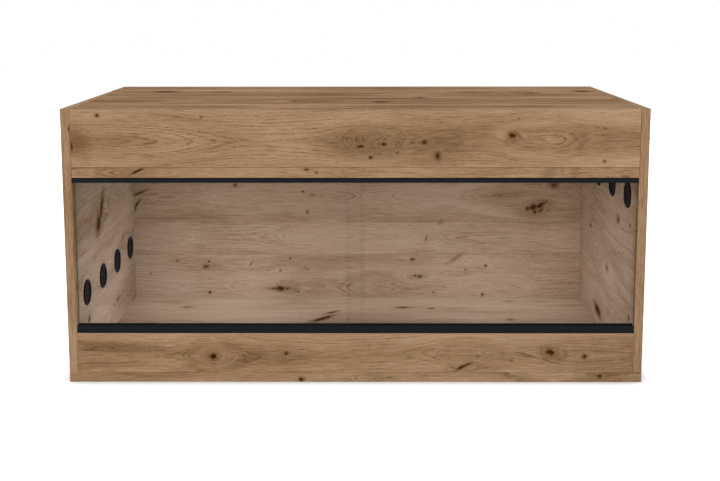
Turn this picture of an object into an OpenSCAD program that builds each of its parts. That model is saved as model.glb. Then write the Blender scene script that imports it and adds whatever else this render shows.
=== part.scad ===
// Terrarium cabinet: a box of melamine-faced boards with two sliding glass doors.
// X runs to the right, Y to the back and Z up. The origin is at the middle of the underside.

/* [Cabinet] */
// Overall width across the outer faces of the side boards
cabinet_w = 1000; // [700:10:1400]
// Overall depth from the front face to the back face
cabinet_d = 500; // [380:10:700]
// Overall height from the underside to the top face
cabinet_h = 480; // [440:10:700]

/* [Boards] */
// Thickness of the two side boards
side_t = 16; // [12:0.5:25]
// Thickness of the top board
top_t = 16; // [12:0.5:25]
// Thickness of the back panel
back_t = 16; // [12:0.5:25]
// Thickness of the upper and lower front panels
front_t = 16; // [14:0.5:25]
// Thickness of the bottom board, which the sides stand on
bottom_t = 18; // [14:0.5:28]
// Thickness of the header rail between the upper front panel and the upper track
header_t = 18.5; // [14:0.5:28]
// Depth of the header rail from the front face
header_depth = 60; // [40:1:120]
// Height of the upper front panel above the header rail
upper_panel_h = 99.5; // [60:0.5:160]
// Height of the lower front panel above the bottom board
lower_panel_h = 70; // [50:0.5:120]

/* [Edge banding] */
// Thickness of the plastic edge banding
band_t = 1; // [1:0.1:2]
// Radius of the banding's long outer edges
band_r = 0.6; // [0.2:0.1:0.8]

/* [Glass doors] */
// Thickness of the glass
glass_t = 4; // [3:0.5:8]
// Width over which the closed doors overlap
door_overlap = 30; // [15:1:60]
// Gap between a closed door and its side board
door_end_gap = 1; // [0.5:0.5:4]
// Width of the polished bevel along each door's free edge
bevel_w = 4.5; // [1:0.5:8]
// Depth that the bevel takes off the front face
bevel_depth = 0.6; // [0.2:0.1:1]
// Flat ground on the other upright edges
arris = 0.3; // [0.1:0.1:0.8]

/* [Tracks] */
// Width of each groove over the thickness of the glass
groove_play = 1; // [0.8:0.1:2]
// Thickness of the upright walls of the tracks
track_wall = 2; // [1:0.1:3]
// Height of the lower track
lower_track_h = 13; // [11:0.1:20]
// Depth of the lower track's grooves
lower_groove_depth = 5; // [3:0.1:6]
// Wall around the two hollow chambers under the lower grooves
chamber_wall = 1.5; // [1:0.1:2]
// Height of the upper track
upper_track_h = 8.4; // [8:0.1:20]
// Thickness of the upper track's roof over its grooves
upper_roof_t = 1.4; // [1:0.1:2]
// Height of glass that stands in the upper grooves with the doors down
upper_engagement = 2; // [1.5:0.1:2]
// Gap under the glass that lets it run
run_clearance = 0.3; // [0.3:0.1:0.5]
// Thickness of the adhesive tape that holds the tracks
tape_t = 0.4; // [0.3:0.1:1]
// Distance from the tape to each long edge of its track
tape_inset = 2; // [1:0.5:4]

/* [Vents] */
// Number of vents in the row on each side
vent_count = 4; // [2:1:4]
// Distance from the front face to the first vent's centre
vent_front_margin = 72; // [60:1:90]
// Distance from the back face to the last vent's centre
vent_back_margin = 68; // [50:1:90]
// Height of the left row's centres above the cabinet's floor
left_vent_rise = 124; // [70:1:160]
// Distance from the header rail's underside down to the right row's centres
right_vent_drop = 42; // [30:1:120]
// Diameter of the hole drilled for a vent
vent_hole_d = 40; // [30:1:44]
// Width of the flange around the hole
vent_flange_lap = 3.5; // [2:0.5:6]
// Height of the flange above the board
vent_flange_t = 3; // [2.6:0.1:4]
// Radius of the flange's outer rim
vent_rim_r = 1.4; // [0.5:0.1:1.8]
// Radial gap between a vent's collar and its hole
vent_collar_gap = 0.1; // [0.1:0.05:0.4]
// Wall of the collar that goes into the hole
vent_collar_wall = 1.5; // [1:0.1:2]
// Gap left between the collars of the inner and outer half
vent_collar_split = 0.8; // [0.4:0.1:2]
// Thickness of the slotted disc
grille_t = 1.5; // [1:0.1:2]
// Depth of the slotted disc below the flange's top
grille_recess = 1; // [0.4:0.1:1]
// Radial width of a slot
slot_w = 2.7; // [1.5:0.1:3]
// Radial width of the ring between two rows of slots
slot_ring_w = 1.9; // [1.2:0.1:2.5]
// Width of the spokes between the slots
spoke_w = 1.8; // [1.2:0.1:2.5]
// Length of arc that each slot and its spoke take up
slot_pitch = 8; // [5:0.5:12]
// Most rings of slots on the disc
max_slot_rings = 3; // [1:1:4]

/* [Fasteners] */
// Length of the connecting screws
screw_l = 50; // [40:1:60]
// Shank diameter of the connecting screws
screw_shank_d = 7; // [5:0.5:7]
// Core diameter of the connecting screws' threaded part
screw_core_d = 5; // [3:0.5:5]
// Head diameter of the connecting screws
screw_head_d = 10; // [8:0.5:11]
// Height of the countersunk head
screw_head_h = 3.5; // [2:0.5:4]
// Depth of the head below the board's face
screw_sink = 1; // [0.5:0.1:1.5]
// Width across the flats of the hex socket
socket_af = 4; // [3:0.5:5]
// Depth of the hex socket
socket_depth = 3; // [2:0.5:4]
// Radial gap around screws and dowels
bore_gap = 0.1; // [0.05:0.05:0.2]
// Distance from the side boards' ends to their first screws
screw_margin = 60; // [50:1:80]
// Diameter of the cover caps
cap_d = 12; // [11.5:0.5:14]
// Thickness of a cover cap's disc
cap_t = 0.8; // [0.5:0.1:1.2]
// Diameter of the wooden dowels
dowel_d = 8; // [6:1:8]
// Length of the wooden dowels
dowel_l = 30; // [26:1:40]
// Wood left between a dowel hole and the far face of a board
dowel_skin = 3; // [2:0.5:4]
// Empty space at each end of a dowel
dowel_end_gap = 1; // [0.5:0.5:1.5]

/* [Hidden] */
$fn = 64;
// Cuts run past the faces that they open by this much.
eps = 0.5;
hex_sides = 6;
dowel_chamfer = 1;
screw_tip_h = 3;
// Radial gap around a cover cap's plug, and how far the plug goes into the socket
cap_plug_gap = 0.15;
cap_plug_in = 1.5;

oak = [0.66, 0.54, 0.41];
oak_edge = [0.62, 0.50, 0.37];
track_black = [0.14, 0.15, 0.16];
vent_black = [0.10, 0.11, 0.12];
tape_grey = [0.25, 0.25, 0.26];
glass_tint = [0.80, 0.88, 0.86, 0.35];
zinc = [0.75, 0.75, 0.76];
beech = [0.82, 0.69, 0.50];

half_w = cabinet_w / 2;
front_y = -cabinet_d / 2;
back_y = cabinet_d / 2;
inner_w = cabinet_w - 2 * side_t;
inner_x = inner_w / 2;

header_top = cabinet_h - upper_panel_h;
header_bottom = header_top - header_t;
lower_panel_top = bottom_t + lower_panel_h;

groove_w = glass_t + groove_play;
track_d = 3 * track_wall + 2 * groove_w;
lower_track_z = lower_panel_top + tape_t;
lower_track_top = lower_track_z + lower_track_h;
groove_floor_z = lower_track_top - lower_groove_depth;
upper_track_top = header_bottom - tape_t;
upper_track_z = upper_track_top - upper_track_h;

door_w = (inner_w + door_overlap) / 2 - door_end_gap;
door_z = groove_floor_z + run_clearance;
door_h = upper_track_z + upper_engagement - door_z;
// Near faces of the glass in the front and the rear groove
front_glass_y = front_y + track_wall + groove_play / 2;
rear_glass_y = front_glass_y + groove_w + track_wall;

vent_pitch = (cabinet_d - vent_front_margin - vent_back_margin) / (vent_count - 1);
vent_ys = [for (i = [0:vent_count - 1]) front_y + vent_front_margin + i * vent_pitch];
left_vent_z = bottom_t + left_vent_rise;
right_vent_z = header_bottom - right_vent_drop;
vent_hole_r = vent_hole_d / 2;
vent_flange_r = vent_hole_r + vent_flange_lap;
vent_collar_r = vent_hole_r - vent_collar_gap;
vent_collar_l = (side_t - vent_collar_split) / 2;
vent_grille_r = vent_collar_r - vent_collar_wall;
slot_ring_count = min(max_slot_rings, floor((vent_grille_r - slot_ring_w) / (slot_w + slot_ring_w)));

// Middles of the boards' thicknesses, where screws and dowels run
side_mid_x = half_w - side_t / 2;
front_mid_y = front_y + front_t / 2;
back_mid_y = back_y - back_t / 2;
top_mid_z = cabinet_h - top_t / 2;
back_bottom_z = bottom_t;
back_top_z = cabinet_h - top_t;

// [y, z] of the screws that go through each side board
side_screw_sites = [
    [front_y + front_t + screw_margin, top_mid_z],
    [0, top_mid_z],
    [back_y - screw_margin, top_mid_z],
    [front_mid_y, header_top + upper_panel_h / 2],
    [front_y + header_depth / 2, header_bottom + header_t / 2],
    [front_mid_y, bottom_t + lower_panel_h / 2],
    [back_mid_y, back_top_z - screw_margin],
    [back_mid_y, back_bottom_z + screw_margin],
];
// [x, y] of the screws that go up through the bottom board
panel_screw_x = inner_w / 4;
bottom_screw_sites = [
    for (x = [-side_mid_x, side_mid_x])
        for (y = [front_y + screw_margin, 0, back_y - screw_margin])
            [x, y],
    for (x = [-panel_screw_x, panel_screw_x])
        for (y = [front_mid_y, back_mid_y])
            [x, y],
];

dowel_xs = [for (k = [-3, -1, 1, 3]) k * inner_w / 8];
header_dowel_down = header_t - dowel_skin - dowel_end_gap;
front_dowel_out = front_t - dowel_skin - dowel_end_gap;

// A box between two opposite corners
module span(low, high) {
    translate(low) cube(high - low);
}

// ---- Fasteners ----

// A connecting screw along +Z, with the top of its head at 0. Its shank ends
// where the first board does.
module screw(board_t) {
    shank_end = board_t - screw_sink;
    difference() {
        union() {
            cylinder(h = screw_head_h, d1 = screw_head_d, d2 = screw_shank_d);
            translate([0, 0, screw_head_h])
                cylinder(h = shank_end - screw_head_h, d = screw_shank_d);
            translate([0, 0, shank_end])
                cylinder(h = screw_l - screw_tip_h - shank_end, d = screw_core_d);
            translate([0, 0, screw_l - screw_tip_h])
                cylinder(h = screw_tip_h, d1 = screw_core_d, d2 = screw_core_d / 2);
        }
        translate([0, 0, -eps])
            cylinder(h = socket_depth + eps, d = socket_af / cos(30), $fn = hex_sides);
    }
}

// The hole for that screw in both boards, from the first board's face at 0
module screw_bore(board_t) {
    translate([0, 0, -eps])
        cylinder(h = screw_sink + eps, d = screw_head_d + 2 * bore_gap);
    translate([0, 0, screw_sink])
        cylinder(
            h = screw_head_h,
            d1 = screw_head_d + 2 * bore_gap,
            d2 = screw_shank_d + 2 * bore_gap
        );
    translate([0, 0, screw_sink])
        cylinder(h = board_t - screw_sink, d = screw_shank_d + 2 * bore_gap);
    translate([0, 0, board_t - eps])
        cylinder(h = screw_sink + screw_l - board_t + 2 * eps, d = screw_core_d + 2 * bore_gap);
}

// Places its children at each side screw, with +Z pointing into the cabinet. side is -1 or 1.
module at_side_screws(side) {
    for (site = side_screw_sites)
        translate([side * half_w, site[0], site[1]]) rotate([0, -side * 90, 0]) children();
}

module at_bottom_screws() {
    for (site = bottom_screw_sites)
        translate([site[0], site[1], 0]) children();
}

module side_screw_bores() {
    for (side = [-1, 1])
        at_side_screws(side) screw_bore(side_t);
}

module bottom_screw_bores() {
    at_bottom_screws() screw_bore(bottom_t);
}

// A wooden dowel along +Z that starts at 0, with chamfered ends
module dowel() {
    tip_d = dowel_d - 2 * dowel_chamfer;
    cylinder(h = dowel_chamfer, d1 = tip_d, d2 = dowel_d);
    translate([0, 0, dowel_chamfer]) cylinder(h = dowel_l - 2 * dowel_chamfer, d = dowel_d);
    translate([0, 0, dowel_l - dowel_chamfer]) cylinder(h = dowel_chamfer, d1 = dowel_d, d2 = tip_d);
}

module dowel_bore() {
    translate([0, 0, -dowel_end_gap])
        cylinder(h = dowel_l + 2 * dowel_end_gap, d = dowel_d + 2 * bore_gap);
}

// Upright dowels between the header rail and the upper front panel
module at_header_dowels() {
    for (x = dowel_xs)
        translate([x, front_mid_y, header_top - header_dowel_down]) children();
}

// Level dowels between the upper front panel and the top board
module at_top_dowels() {
    for (x = dowel_xs)
        translate([x, front_y + front_t - front_dowel_out, top_mid_z]) rotate([-90, 0, 0]) children();
}

module side_screws() {
    color(zinc)
        for (side = [-1, 1])
            at_side_screws(side) translate([0, 0, screw_sink]) screw(side_t);
}

module bottom_screws() {
    color(zinc) at_bottom_screws() translate([0, 0, screw_sink]) screw(bottom_t);
}

module cover_cap() {
    plug_l = screw_sink + cap_plug_in;
    translate([0, 0, -cap_t]) cylinder(h = cap_t, d = cap_d);
    translate([0, 0, -eps]) cylinder(h = plug_l + eps, d = socket_af - 2 * cap_plug_gap);
}

module cover_caps() {
    color(oak_edge)
        for (side = [-1, 1])
            at_side_screws(side) cover_cap();
}

module wood_dowels() {
    color(beech) {
        at_header_dowels() dowel();
        at_top_dowels() dowel();
    }
}

// ---- Boards ----

module bottom_board() {
    color(oak) difference() {
        span([band_t - half_w, front_y + band_t, 0], [half_w - band_t, back_y, bottom_t]);
        bottom_screw_bores();
    }
}

// side is -1 for the left board and 1 for the right one
module side_board(side, vent_z) {
    x_mid = side * side_mid_x;
    color(oak) difference() {
        span(
            [x_mid - side_t / 2, front_y + band_t, bottom_t],
            [x_mid + side_t / 2, back_y, cabinet_h - band_t]
        );
        for (y = vent_ys)
            translate([x_mid - side_t / 2 - eps, y, vent_z]) rotate([0, 90, 0])
                cylinder(h = side_t + 2 * eps, d = vent_hole_d);
        at_side_screws(side) screw_bore(side_t);
        bottom_screw_bores();
    }
}

module left_side_board() { side_board(-1, left_vent_z); }

module right_side_board() { side_board(1, right_vent_z); }

module top_board() {
    color(oak) difference() {
        span([-inner_x, front_y + front_t, cabinet_h - top_t], [inner_x, back_y, cabinet_h]);
        side_screw_bores();
        at_top_dowels() dowel_bore();
    }
}

module back_panel() {
    color(oak) difference() {
        span([-inner_x, back_y - back_t, back_bottom_z], [inner_x, back_y, back_top_z]);
        side_screw_bores();
        bottom_screw_bores();
    }
}

module upper_front_panel() {
    color(oak) difference() {
        span([-inner_x, front_y, header_top], [inner_x, front_y + front_t, cabinet_h - band_t]);
        side_screw_bores();
        at_header_dowels() dowel_bore();
        at_top_dowels() dowel_bore();
    }
}

module header_rail() {
    color(oak) difference() {
        span(
            [-inner_x, front_y + band_t, header_bottom],
            [inner_x, front_y + header_depth, header_top]
        );
        side_screw_bores();
        at_header_dowels() dowel_bore();
    }
}

module lower_front_panel() {
    color(oak) difference() {
        span([-inner_x, front_y, bottom_t], [inner_x, front_y + front_t, lower_panel_top]);
        side_screw_bores();
        bottom_screw_bores();
    }
}

// ---- Edge banding ----

// A strip of banding that runs up along +Z. Its outer face is on Y = 0, with rounded
// long edges, and its glued face is on Y = band_t.
module band(w, l) {
    linear_extrude(height = l) intersection() {
        square([w, band_t]);
        union() {
            translate([0, band_r]) square([w, band_t]);
            translate([band_r, 0]) square([w - 2 * band_r, band_t]);
            for (x = [band_r, w - band_r])
                translate([x, band_r]) circle(r = band_r);
        }
    }
}

// The same strip laid along +X, with its outer face still to the front
module level_band(w, l) {
    translate([0, 0, w]) rotate([0, 90, 0]) band(w, l);
}

// The same strip laid along +Y, with its outer face on top at Z = 0
module top_band(w, l) {
    rotate([-90, 0, 0]) band(w, l);
}

module bottom_edge_bands() {
    end_l = cabinet_d - band_t;
    color(oak_edge) {
        translate([-half_w, front_y, 0]) level_band(bottom_t, cabinet_w);
        translate([-half_w, back_y, 0]) rotate([0, 0, -90]) level_band(bottom_t, end_l);
        translate([half_w, front_y + band_t, 0]) rotate([0, 0, 90]) level_band(bottom_t, end_l);
    }
}

// The front and top strips of the side board whose lower X is x
module side_edge_bands(x) {
    color(oak_edge) {
        translate([x, front_y, bottom_t]) band(side_t, cabinet_h - bottom_t);
        translate([x, front_y + band_t, cabinet_h]) top_band(side_t, cabinet_d - band_t);
    }
}

module left_side_edge_bands() { side_edge_bands(-half_w); }

module right_side_edge_bands() { side_edge_bands(inner_x); }

module header_edge_band() {
    color(oak_edge) translate([-inner_x, front_y, header_bottom]) level_band(header_t, inner_w);
}

module upper_panel_edge_band() {
    color(oak_edge)
        translate([-inner_x, front_y + front_t, cabinet_h])
            rotate([0, 0, -90]) top_band(front_t, inner_w);
}

// ---- Tracks ----

// Extrudes a cross-section drawn in Y and Z along the tracks' length, from front_y and height z
module track(z) {
    translate([-inner_x, front_y, z]) rotate([90, 0, 90]) linear_extrude(height = inner_w) children();
}

// Places its children at the two grooves of a track's cross-section
module at_grooves() {
    for (k = [0, 1])
        translate([track_wall + k * (groove_w + track_wall), 0]) children();
}

module lower_track() {
    floor_h = lower_track_h - lower_groove_depth;
    color(track_black) track(lower_track_z) difference() {
        square([track_d, lower_track_h]);
        at_grooves() translate([0, floor_h]) square([groove_w, lower_groove_depth + eps]);
        at_grooves() translate([0, chamber_wall]) square([groove_w, floor_h - 2 * chamber_wall]);
    }
}

module upper_track() {
    color(track_black) track(upper_track_z) difference() {
        square([track_d, upper_track_h]);
        at_grooves() translate([0, -eps]) square([groove_w, upper_track_h - upper_roof_t + eps]);
    }
}

module track_tape(z) {
    color(tape_grey) span(
        [-inner_x, front_y + tape_inset, z],
        [inner_x, front_y + track_d - tape_inset, z + tape_t]
    );
}

module lower_track_tape() { track_tape(lower_panel_top); }

module upper_track_tape() { track_tape(upper_track_top); }

// ---- Glass doors ----

// A pane that starts at X = 0, with its front face on Y = 0 and its bevelled free edge at X = door_w
module pane() {
    color(glass_tint) linear_extrude(height = door_h) polygon([
        [arris, 0],
        [door_w - bevel_w, 0],
        [door_w, bevel_depth],
        [door_w, glass_t - arris],
        [door_w - arris, glass_t],
        [arris, glass_t],
        [0, glass_t - arris],
        [0, arris],
    ]);
}

module left_door_glass() {
    translate([door_end_gap - inner_x, rear_glass_y, door_z]) pane();
}

module right_door_glass() {
    translate([inner_x - door_end_gap, front_glass_y, door_z]) mirror([1, 0, 0]) pane();
}

// ---- Vents ----

// One ring of slots in the vent's disc, with k = 0 for the outer ring
module slot_ring(k) {
    outer_r = vent_grille_r - slot_ring_w - k * (slot_w + slot_ring_w);
    slots = round(PI * (2 * outer_r - slot_w) / slot_pitch);
    difference() {
        circle(r = outer_r);
        circle(r = outer_r - slot_w);
        for (i = [0:slots - 1])
            rotate(i * 360 / slots) translate([0, -spoke_w / 2]) square([outer_r + eps, spoke_w]);
    }
}

// The slotted disc, its flange and its collar. The flange stands on Z = 0 and the collar
// goes down into the hole.
module vent_half() {
    color(vent_black) {
        rotate_extrude() {
            translate([vent_grille_r, -vent_collar_l])
                square([vent_collar_wall, vent_collar_l + vent_rim_r]);
            translate([vent_grille_r, 0])
                square([vent_flange_r - vent_grille_r, vent_flange_t - vent_rim_r]);
            translate([vent_grille_r, 0])
                square([vent_flange_r - vent_grille_r - vent_rim_r, vent_flange_t]);
            translate([vent_flange_r - vent_rim_r, vent_flange_t - vent_rim_r])
                circle(r = vent_rim_r);
        }
        translate([0, 0, vent_flange_t - grille_recess - grille_t])
            linear_extrude(height = grille_t) difference() {
                circle(r = vent_grille_r + vent_collar_wall / 2);
                for (k = [0:slot_ring_count - 1])
                    slot_ring(k);
            }
    }
}

// A half in vent number i of a row, on the board face at x. facing is the sign of its outer side.
module vent_at(i, x, z, facing) {
    translate([x, vent_ys[i - 1], z]) rotate([0, facing * 90, 0]) vent_half();
}

module left_vent_inner(i) { vent_at(i, -inner_x, left_vent_z, 1); }

module left_vent_outer(i) { vent_at(i, -half_w, left_vent_z, -1); }

module right_vent_inner(i) { vent_at(i, inner_x, right_vent_z, -1); }

module right_vent_outer(i) { vent_at(i, half_w, right_vent_z, 1); }

// ---- Nodes ----

bottom_board();
left_side_board();
right_side_board();
top_board();
back_panel();
upper_front_panel();
header_rail();
lower_front_panel();
bottom_edge_bands();
left_side_edge_bands();
right_side_edge_bands();
header_edge_band();
upper_panel_edge_band();
lower_track();
upper_track();
lower_track_tape();
upper_track_tape();
left_door_glass();
right_door_glass();
side_screws();
bottom_screws();
cover_caps();
wood_dowels();
for (i = [1:vent_count]) {
    left_vent_inner(i);
    left_vent_outer(i);
    right_vent_inner(i);
    right_vent_outer(i);
}
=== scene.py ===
"""Terrarium cabinet in knotty oak decor with two sliding glass doors: its finishes, studio and view."""

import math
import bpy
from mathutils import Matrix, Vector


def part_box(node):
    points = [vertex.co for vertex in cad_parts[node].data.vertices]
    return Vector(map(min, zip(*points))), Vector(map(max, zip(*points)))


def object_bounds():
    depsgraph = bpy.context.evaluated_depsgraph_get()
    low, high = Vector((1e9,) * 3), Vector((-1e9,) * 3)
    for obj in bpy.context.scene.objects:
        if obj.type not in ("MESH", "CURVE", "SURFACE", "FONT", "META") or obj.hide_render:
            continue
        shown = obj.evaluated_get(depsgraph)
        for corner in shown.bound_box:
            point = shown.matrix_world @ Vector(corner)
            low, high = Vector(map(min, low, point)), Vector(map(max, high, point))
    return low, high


bl_info = {
    "name": "Terrarium Cabinet",
    "version": (1, 0, 0),
    "blender": (4, 5, 0),
    "location": "3D View > Sidebar > Cabinet",
    "description": "Finishes a terrarium cabinet of oak decor boards, glass doors and black fittings",
    "category": "Object",
}

import bpy
from bpy.props import FloatProperty, FloatVectorProperty, PointerProperty
from mathutils import Euler, Matrix, Vector

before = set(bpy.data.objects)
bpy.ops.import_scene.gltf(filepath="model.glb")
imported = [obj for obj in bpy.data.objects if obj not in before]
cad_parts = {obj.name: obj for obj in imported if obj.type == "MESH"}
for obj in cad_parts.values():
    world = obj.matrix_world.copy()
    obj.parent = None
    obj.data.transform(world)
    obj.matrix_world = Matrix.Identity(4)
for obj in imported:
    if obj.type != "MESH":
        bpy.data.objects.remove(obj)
cad_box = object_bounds()

MM = 1000.0  # the frame is in metres, and every pattern below is drawn in millimetres
EDGING = 1.0  # mm, how thick the edging is
FRONT_EDGES = MM * cad_box[0][1] + EDGING  # mm, the strip on a front edge lies in front of this
ALL_THE_WAY = 1e7  # mm, so long that it adds nothing to a distance
DEEPEST = 40.0  # mm, the heart of the tree lies no deeper than this where a figure gives its depth
PLANK_SHIFT = 731.0  # mm, each plank is cut from this much further along the tree
NOISE_LOW, NOISE_HIGH = 0.3, 0.7  # nearly all of a noise lies between these
AXES = "XYZ"

# The camera was solved from the photo's straight edges.
CAMERA_PLACE = (0.0168, -2.0808, 0.6569)  # m
CAMERA_TURN = (82.0986, 0.0459, 0.2527)  # degrees
CAMERA_LENS = 54.35  # mm, on a sensor 36 mm wide
CAMERA_SHIFT = -0.12  # of the picture's width, below 0 because the frame reaches further down


def linear(hex_colour):
    """An sRGB hex colour as the linear red, green, blue and alpha that a shader takes."""
    parts = [int(hex_colour[i : i + 2], 16) / 255 for i in (0, 2, 4)]
    return tuple(c / 12.92 if c <= 0.04045 else ((c + 0.055) / 1.055) ** 2.4 for c in parts) + (1.0,)


WHITE = linear("FFFFFF")

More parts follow.
